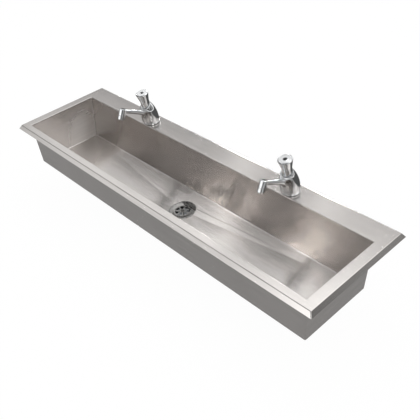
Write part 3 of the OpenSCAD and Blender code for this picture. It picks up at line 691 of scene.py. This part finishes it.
# ---------- Studio ----------
# A white room with one soft lamp overhead. The floor and the room are white to the camera and in
# reflections, and the floor takes a little real light, so that the trough's shadow lies on it.
PAPER_Z = -0.2
ROOM_LIGHT = 0.55
PAPER_GLOW, GLOW_SHARE = 1.03, 0.94
UNSEEN = ("camera", "diffuse", "transmission", "shadow", "volume_scatter")


def seen_white(tree):
    """One where a ray comes from the camera, a reflection or glass, and nought for plain light."""
    ray = add(tree, "ShaderNodeLightPath")
    total = add(tree, "ShaderNodeMath", {"operation": "ADD"},
                {0: ray.outputs["Is Camera Ray"], 1: ray.outputs["Is Glossy Ray"]})
    total = add(tree, "ShaderNodeMath", {"operation": "ADD", "use_clamp": True},
                {0: total.outputs[0], 1: ray.outputs["Is Transmission Ray"]})
    return total.outputs[0]


world = bpy.data.worlds.new("white_room")
scene.world = world
world.use_nodes = True
room = world.node_tree
background = room.nodes["Background"]
background.inputs["Color"].default_value = (1, 1, 1, 1)
strength = add(room, "ShaderNodeMapRange", {"To Min": ROOM_LIGHT, "To Max": 1.0},
               {"Value": seen_white(room)})
room.links.new(strength.outputs[0], background.inputs["Strength"])
scene.view_settings.view_transform = "Standard"


def stage_piece(name, primitive, material, unseen=(), **settings):
    """A piece of the studio, hidden from the kinds of ray named."""
    piece = begin(name, primitive, **settings)
    bpy.ops.object.mode_set(mode="OBJECT")
    piece.data.materials.append(material)
    for kind in unseen:
        setattr(piece, "visible_" + kind, False)


paper = bpy.data.materials.new("white_paper_floor")
paper.use_nodes = True
tree = paper.node_tree
matt = add(tree, "ShaderNodeBsdfDiffuse", {"Color": (0.9, 0.9, 0.9, 1)})
glow = add(tree, "ShaderNodeEmission", {"Strength": PAPER_GLOW})
both = add(tree, "ShaderNodeMixShader", {0: GLOW_SHARE}, {1: matt.outputs[0], 2: glow.outputs[0]})
plain = add(tree, "ShaderNodeMixShader", {}, {0: seen_white(tree), 1: matt.outputs[0], 2: both.outputs[0]})
tree.links.new(plain.outputs[0], tree.nodes["Material Output"].inputs["Surface"])
stage_piece("studio_floor", bpy.ops.mesh.primitive_plane_add, paper, size=60, location=(0, 0, PAPER_Z))

# Grey screens, four soft lights and two slim ones round the set, seen only in reflections: they
# give the steel its half tones and its streaks. A tone's place is its turn round the trough's
# length, 0 level at the back, 0.5 straight above and 1 level at the front, and its way along it.
SCREEN_LEVEL = 1.75
SLIM_WAYS, SLIM_HALF_WIDTH, SLIM_LEAN, SLIM_LEVEL = (-0.612, -0.486), 0.011, -0.03, 30.0
# Each soft light's middle and reach, as way and turn, and its level
SOFT_LIGHTS = (
    ((-0.62, 0.462, 0), (0.30, 0.035, 1), 3.0),
    ((0.79, 0.73, 0), (0.24, 0.20, 1), 3.0),
    ((0.38, 0.84, 0), (0.16, 0.06, 1), 5.0),
    ((-0.40, 0.945, 0), (0.25, 0.06, 1), 0.6),
)
screens = bpy.data.materials.new("screens_and_slim_lights")
screens.use_nodes = True
tree = screens.node_tree
where = add(tree, "ShaderNodeTexCoord").outputs["Object"]
way = add(tree, "ShaderNodeVectorMath", {"operation": "NORMALIZE"}, {0: where})
ways = add(tree, "ShaderNodeSeparateXYZ", {}, {0: way.outputs[0]})
turn = add(tree, "ShaderNodeMath", {"operation": "ARCTAN2"}, {0: ways.outputs[2], 1: ways.outputs[1]})
turn = add(tree, "ShaderNodeMath", {"operation": "DIVIDE", 1: math.pi}, {0: turn.outputs[0]})
slant = add(tree, "ShaderNodeMath", {"operation": "ABSOLUTE"}, {0: ways.outputs[0]})

# Smooth runs of grey, each step a place and a tone: over the turn on the left and on the right,
# over the way towards either end, and over the turn along the slim lights
runs = {
    "left": (turn, (
        (0, 0.85), (0.14, 0.75), (0.235, 0.38), (0.31, 1.08), (0.4, 0.95), (0.47, 0.8),
        (0.51, 0.42), (0.67, 0.36), (0.74, 0.1), (0.86, 0.1), (0.92, 1.0), (1, 1.05))),
    "right": (turn, ((0, 0.3), (0.14, 0.3), (0.3, 1.5), (0.5, 1.0), (0.6, 0.12), (1, 0.12))),
    "ends": (slant, (
        (0, 0.85), (0.43, 0.85), (0.465, 0.56), (0.56, 0.53), (0.66, 0.6), (0.78, 0.62),
        (0.82, 0.52), (0.87, 0.3), (1, 0.2))),
    "slim": (turn, (
        (0, 1.0), (0.15, 1.0), (0.2, 0.04), (0.4, 0.02), (0.46, 0.085), (0.66, 0.085),
        (0.75, 0.0), (1, 0.0))),
}
for run, (value, steps) in runs.items():
    ramp = add(tree, "ShaderNodeValToRGB", {}, {0: value.outputs[0]})
    ramp.color_ramp.interpolation = "EASE"
    points = ramp.color_ramp.elements
    points.remove(points[1])
    for number, (at, tone) in enumerate(steps):
        point = points[0] if number == 0 else points.new(at)
        point.position = at
        point.color = (tone, tone, tone, 1)
    runs[run] = ramp.outputs[0]

side = add(tree, "ShaderNodeMapRange", {"From Min": 0.0, "From Max": 0.45}, {"Value": ways.outputs[0]})
tone = add(tree, "ShaderNodeMix", {"data_type": "FLOAT"},
           {0: side.outputs[0], 2: runs["left"], 3: runs["right"]})
light = add(tree, "ShaderNodeMath", {"operation": "MULTIPLY"}, {0: tone.outputs[0], 1: runs["ends"]})
light = add(tree, "ShaderNodeMath", {"operation": "MULTIPLY", 1: SCREEN_LEVEL},
            {0: light.outputs[0]}).outputs[0]
aslant = add(tree, "ShaderNodeMath", {"operation": "MULTIPLY_ADD", 1: SLIM_LEAN},
             {0: turn.outputs[0], 2: ways.outputs[0]})
for way_x in SLIM_WAYS:
    off = add(tree, "ShaderNodeMath", {"operation": "COMPARE", 1: way_x, 2: SLIM_HALF_WIDTH},
              {0: aslant.outputs[0]})
    lit = add(tree, "ShaderNodeMath", {"operation": "MULTIPLY", 1: SLIM_LEVEL}, {0: off.outputs[0]})
    light = add(tree, "ShaderNodeMath", {"operation": "MULTIPLY_ADD"},
                {0: lit.outputs[0], 1: runs["slim"], 2: light}).outputs[0]
faces = add(tree, "ShaderNodeCombineXYZ", {}, {0: ways.outputs[0], 1: turn.outputs[0]})
for middle, reach, level in SOFT_LIGHTS:
    off = add(tree, "ShaderNodeVectorMath", {"operation": "SUBTRACT", 1: middle}, {0: faces.outputs[0]})
    off = add(tree, "ShaderNodeVectorMath", {"operation": "DIVIDE", 1: reach}, {0: off.outputs[0]})
    off = add(tree, "ShaderNodeVectorMath", {"operation": "LENGTH"}, {0: off.outputs[0]})
    near = add(tree, "ShaderNodeMapRange",
               {"interpolation_type": "SMOOTHSTEP", "From Min": 1.0, "From Max": 0.0},
               {"Value": off.outputs["Value"]})
    light = add(tree, "ShaderNodeMath", {"operation": "MULTIPLY_ADD", 1: level},
                {0: near.outputs[0], 2: light}).outputs[0]
screen_glow = add(tree, "ShaderNodeEmission", {}, {"Strength": light})
tree.links.new(screen_glow.outputs[0], tree.nodes["Material Output"].inputs["Surface"])
stage_piece("studio_screens", bpy.ops.mesh.primitive_uv_sphere_add, screens, unseen=UNSEEN,
            segments=48, ring_count=24, radius=40)

# A grey table in front that darkens towards the back, just over the paper, also seen only in
# reflections
TABLE_EDGE, TABLE_TONES = (0.25, 0.35), (0.34, 0.1)
table = bpy.data.materials.new("grey_table")
table.use_nodes = True
tree = table.node_tree
where = add(tree, "ShaderNodeTexCoord").outputs["Object"]
where = add(tree, "ShaderNodeSeparateXYZ", {}, {0: where})
table_tone = add(tree, "ShaderNodeMapRange",
                 {"From Min": TABLE_EDGE[0], "From Max": TABLE_EDGE[1],
                  "To Min": TABLE_TONES[0], "To Max": TABLE_TONES[1]},
                 {"Value": where.outputs[1]})
table_glow = add(tree, "ShaderNodeEmission", {}, {"Strength": table_tone.outputs[0]})
tree.links.new(table_glow.outputs[0], tree.nodes["Material Output"].inputs["Surface"])
stage_piece("studio_table", bpy.ops.mesh.primitive_plane_add, table, unseen=UNSEEN,
            size=8, location=(0, 0, PAPER_Z + 0.0005))

# A soft rectangular lamp overhead, a little to the left and behind, for the shadow on the paper
lamp_data = bpy.data.lights.new("overhead_lamp", "AREA")
lamp_data.shape = "RECTANGLE"
lamp_data.size, lamp_data.size_y = 1.6, 1.0
lamp_data.energy = 6
lamp = bpy.data.objects.new("overhead_lamp", lamp_data)
scene.collection.objects.link(lamp)
back = Vector((-0.6, 0.9, 2.2)).normalized()
across = Vector((0, 1, 0)).cross(back).normalized()
faces_trough = Matrix((across, back.cross(across), back)).transposed().to_4x4()
lamp.matrix_world = Matrix.Translation(back * 2.45) @ faces_trough
lamp.visible_glossy = False
